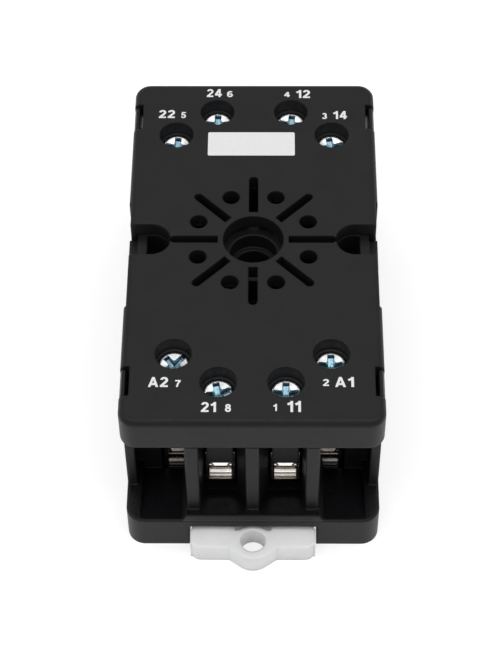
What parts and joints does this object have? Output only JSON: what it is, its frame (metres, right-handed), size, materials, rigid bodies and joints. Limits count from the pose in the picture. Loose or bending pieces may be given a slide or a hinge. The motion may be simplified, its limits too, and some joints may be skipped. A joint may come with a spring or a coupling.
{
  "type": "relay socket",
  "caption": "Eight-pin plug-in relay socket with rising-cage screw clamps at both ends, clip-on cover and sliding clip for a 35 mm rail.",
  "frame": {"origin": "axis of the pin circle on the face that the relay sits on", "axes": "+Z out of the relay face, -Y towards the end with the rail clip, +X to the right seen from the clip end"},
  "size_m": [0.037, 0.0716, 0.0295],
  "materials": {
    "housing_plastic": "fine moulded texture, charcoal black",
    "clip_plastic": "milky white natural plastic, slightly glossy",
    "screw_steel": "bright zinc plate",
    "cage_nickel": "nickel-plated steel, satin",
    "contact_tin": "tin-plated brass strip"
  },
  "bodies": {
    "housing": {"base_housing": "housing_plastic", "top_cover": "housing_plastic", "contact_1": "contact_tin", "contact_2": "contact_tin", "contact_3": "contact_tin", "contact_4": "contact_tin", "contact_5": "contact_tin", "contact_6": "contact_tin", "contact_7": "contact_tin", "contact_8": "contact_tin"},
    "clip": {"rail_clip": "clip_plastic"},
    "screw_1": {"terminal_screw_1": "screw_steel"},
    "cage_1": {"clamp_cage_1": "cage_nickel"},
    "screw_2": {"terminal_screw_2": "screw_steel"},
    "cage_2": {"clamp_cage_2": "cage_nickel"},
    "screw_3": {"terminal_screw_3": "screw_steel"},
    "cage_3": {"clamp_cage_3": "cage_nickel"},
    "screw_4": {"terminal_screw_4": "screw_steel"},
    "cage_4": {"clamp_cage_4": "cage_nickel"},
    "screw_5": {"terminal_screw_5": "screw_steel"},
    "cage_5": {"clamp_cage_5": "cage_nickel"},
    "screw_6": {"terminal_screw_6": "screw_steel"},
    "cage_6": {"clamp_cage_6": "cage_nickel"},
    "screw_7": {"terminal_screw_7": "screw_steel"},
    "cage_7": {"clamp_cage_7": "cage_nickel"},
    "screw_8": {"terminal_screw_8": "screw_steel"},
    "cage_8": {"clamp_cage_8": "cage_nickel"}
  },
  "joints": [
    {"name": "clip_slide", "type": "slide", "parent": "housing", "child": "clip", "axis": [0, -1, 0], "range_m": [0, 0.003], "stiffness_N_per_m": 3000, "springref_m": -0.001},
    {"name": "screw_turn_1", "type": "hinge", "parent": "housing", "child": "screw_1", "pos_m": [0.00471, -0.02574, -0.0043], "axis": [0, 0, 1], "range_deg": [-936, 1080]},
    {"name": "cage_lift_1", "type": "slide", "parent": "housing", "child": "cage_1", "axis": [0, 0, 1], "range_m": [-0.0015, 0.0013]},
    {"name": "screw_turn_2", "type": "hinge", "parent": "housing", "child": "screw_2", "pos_m": [0.01108, -0.02088, -0.0043], "axis": [0, 0, 1], "range_deg": [-1584, 432]},
    {"name": "cage_lift_2", "type": "slide", "parent": "housing", "child": "cage_2", "axis": [0, 0, 1], "range_m": [-0.0006, 0.0022]},
    {"name": "screw_turn_3", "type": "hinge", "parent": "housing", "child": "screw_3", "pos_m": [0.01184, 0.02072, -0.0043], "axis": [0, 0, 1], "range_deg": [-1584, 432]},
    {"name": "cage_lift_3", "type": "slide", "parent": "housing", "child": "cage_3", "axis": [0, 0, 1], "range_m": [-0.0006, 0.0022]},
    {"name": "screw_turn_4", "type": "hinge", "parent": "housing", "child": "screw_4", "pos_m": [0.00565, 0.02545, -0.0043], "axis": [0, 0, 1], "range_deg": [-936, 1080]},
    {"name": "cage_lift_4", "type": "slide", "parent": "housing", "child": "cage_4", "axis": [0, 0, 1], "range_m": [-0.0015, 0.0013]},
    {"name": "screw_turn_5", "type": "hinge", "parent": "housing", "child": "screw_5", "pos_m": [-0.01184, 0.02072, -0.0043], "axis": [0, 0, 1], "range_deg": [-1584, 432]},
    {"name": "cage_lift_5", "type": "slide", "parent": "housing", "child": "cage_5", "axis": [0, 0, 1], "range_m": [-0.0006, 0.0022]},
    {"name": "screw_turn_6", "type": "hinge", "parent": "housing", "child": "screw_6", "pos_m": [-0.00565, 0.02545, -0.0043], "axis": [0, 0, 1], "range_deg": [-936, 1080]},
    {"name": "cage_lift_6", "type": "slide", "parent": "housing", "child": "cage_6", "axis": [0, 0, 1], "range_m": [-0.0015, 0.0013]},
    {"name": "screw_turn_7", "type": "hinge", "parent": "housing", "child": "screw_7", "pos_m": [-0.01108, -0.02088, -0.0043], "axis": [0, 0, 1], "range_deg": [-1584, 432]},
    {"name": "cage_lift_7", "type": "slide", "parent": "housing", "child": "cage_7", "axis": [0, 0, 1], "range_m": [-0.0006, 0.0022]},
    {"name": "screw_turn_8", "type": "hinge", "parent": "housing", "child": "screw_8", "pos_m": [-0.00471, -0.02574, -0.0043], "axis": [0, 0, 1], "range_deg": [-936, 1080]},
    {"name": "cage_lift_8", "type": "slide", "parent": "housing", "child": "cage_8", "axis": [0, 0, 1], "range_m": [-0.0015, 0.0013]}
  ],
  "couplings": [
    {"joint": "screw_turn_1", "follows": "cage_lift_1", "rad_per_m": -12566},
    {"joint": "screw_turn_2", "follows": "cage_lift_2", "rad_per_m": -12566},
    {"joint": "screw_turn_3", "follows": "cage_lift_3", "rad_per_m": -12566},
    {"joint": "screw_turn_4", "follows": "cage_lift_4", "rad_per_m": -12566},
    {"joint": "screw_turn_5", "follows": "cage_lift_5", "rad_per_m": -12566},
    {"joint": "screw_turn_6", "follows": "cage_lift_6", "rad_per_m": -12566},
    {"joint": "screw_turn_7", "follows": "cage_lift_7", "rad_per_m": -12566},
    {"joint": "screw_turn_8", "follows": "cage_lift_8", "rad_per_m": -12566}
  ]
}
